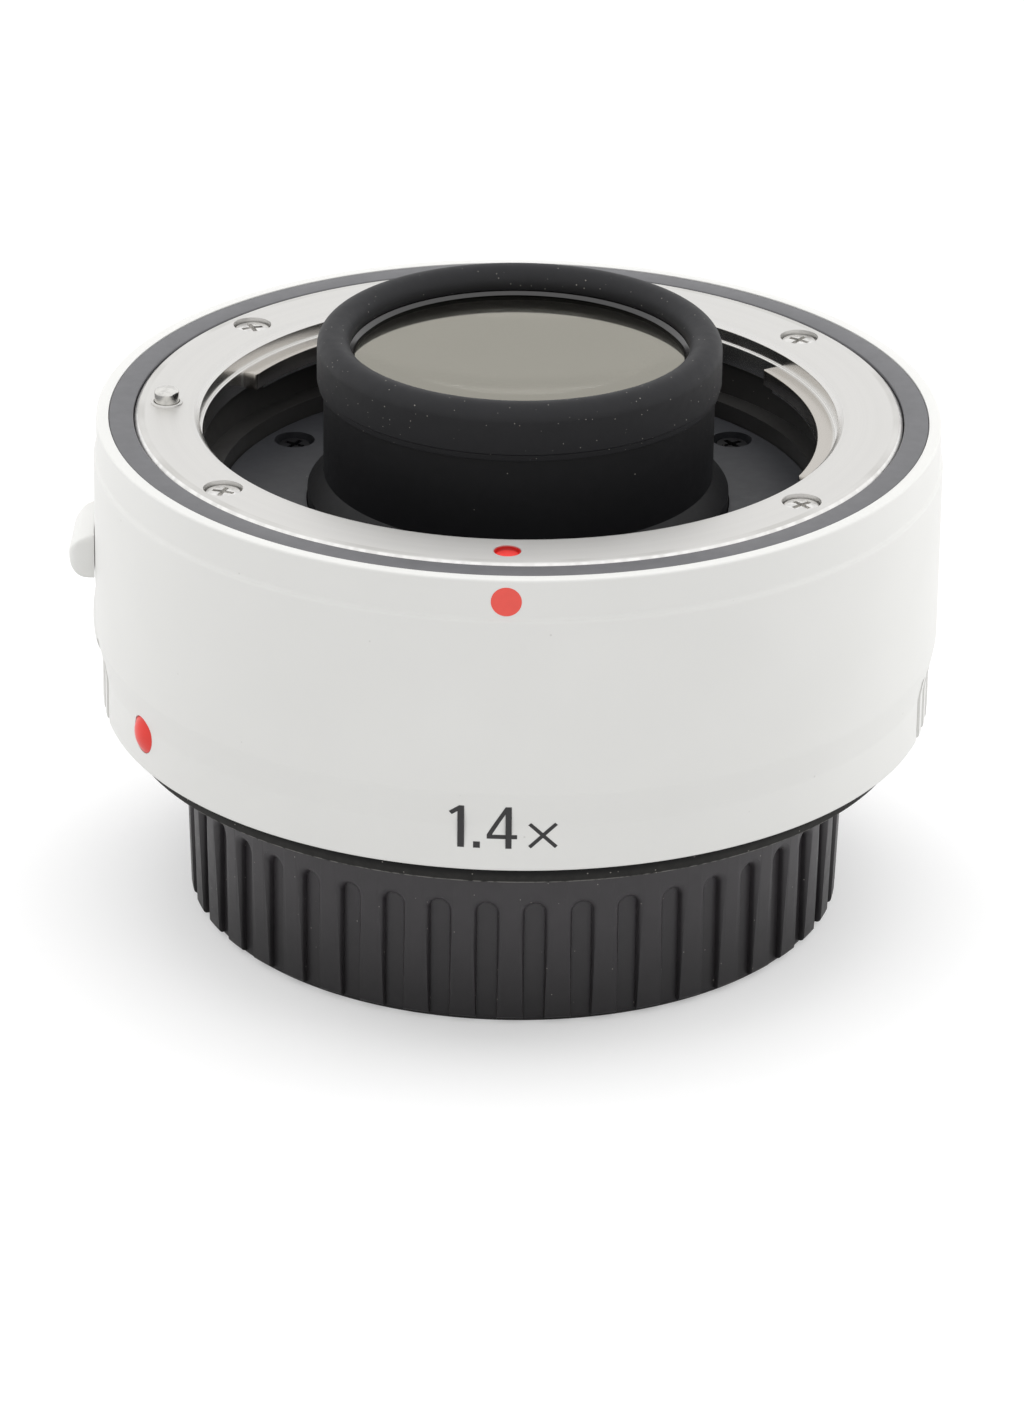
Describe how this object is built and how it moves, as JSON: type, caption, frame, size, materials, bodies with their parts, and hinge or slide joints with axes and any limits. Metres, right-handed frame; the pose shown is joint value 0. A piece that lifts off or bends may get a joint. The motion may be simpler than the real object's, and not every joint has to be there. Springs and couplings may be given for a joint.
{
  "type": "camera teleconverter",
  "caption": "Short white barrel with a steel bayonet mount at each end, a raised black lens tube with a rubber hood, a release knob and a fluted rear cap; multiplies a lens's focal length.",
  "frame": {"origin": "on the optical axis, at the underside of the rear cap", "axes": "+Z along the optical axis towards the lens side; the front index dot faces -Y and the release knob faces -X"},
  "size_m": [0.0741, 0.072, 0.0512],
  "materials": {
    "white_paint": "satin white paint",
    "white_plastic": "satin white",
    "black_trim": "satin black",
    "cast_frame": "black anodised casting",
    "mount_steel": "turned and plated",
    "shim_steel": "rolled",
    "screw_steel": "plated",
    "spring_steel": "drawn wire and strip",
    "red_mark": "gloss red",
    "pin_steel": "polished",
    "black_metal": "matte black anodised",
    "black_rubber": "matte black",
    "lens_glass": "coated",
    "black_plastic": "matte black",
    "gold_contact": "gold plated",
    "board_green": "solder mask",
    "flex_film": "amber film",
    "cap_plastic": "satin black"
  },
  "bodies": {
    "converter": {"barrel_shell": "white_paint", "front_trim_ring": "black_trim", "main_frame": "cast_frame", "frame_web": "cast_frame", "throat_ring": "cast_frame", "front_mount": "mount_steel", "rear_mount": "mount_steel", "front_mount_shim": "shim_steel", "rear_mount_shim": "shim_steel", "front_mount_screws": "screw_steel", "rear_mount_screws": "screw_steel", "board_screws": "screw_steel", "tab_leaf_springs": "spring_steel", "lock_spring": "spring_steel", "contact_springs": "spring_steel", "mount_index_dot": "red_mark", "rear_index_bead": "red_mark", "lens_cell": "black_metal", "front_tube": "black_metal", "front_retaining_ring": "black_metal", "lens_spacer": "black_metal", "rear_retaining_ring": "black_metal", "floor_screws": "black_metal", "hood_ring": "black_rubber", "rear_seal_ring": "black_rubber", "front_lens_a": "lens_glass", "front_lens_b": "lens_glass", "middle_lens_a": "lens_glass", "middle_lens_b": "lens_glass", "middle_lens_c": "lens_glass", "rear_lens_a": "lens_glass", "rear_lens_b": "lens_glass", "floor_plate": "black_plastic", "front_contact_block": "black_plastic", "rear_baffle": "black_plastic", "rear_contact_block": "black_plastic", "board_chips": "black_plastic", "rear_contact_pads": "gold_contact", "circuit_board": "board_green", "front_flex": "flex_film", "rear_flex": "flex_film"},
    "release": {"release_knob": "white_plastic", "lock_slider": "pin_steel", "slider_screws": "screw_steel", "lock_pin": "pin_steel"},
    "contact_row": {"front_contact_pins": "gold_contact"},
    "cap": {"rear_cap": "cap_plastic"}
  },
  "joints": [
    {"name": "release_slide", "type": "slide", "parent": "converter", "child": "release", "axis": [0, 0, -1], "range_m": [0, 0.0015], "stiffness_N_per_m": 600, "springref_m": -0.002, "deforming": ["lock_spring"]},
    {"name": "contact_press", "type": "slide", "parent": "converter", "child": "contact_row", "axis": [0, 0, -1], "range_m": [0, 0.0008], "stiffness_N_per_m": 1500, "springref_m": -0.0005, "deforming": ["contact_springs"]},
    {"name": "cap_twist", "type": "hinge", "parent": "converter", "child": "cap", "pos_m": [0, 0, 0], "axis": [0, 0, 1], "range_deg": [-60, 0]}
  ]
}
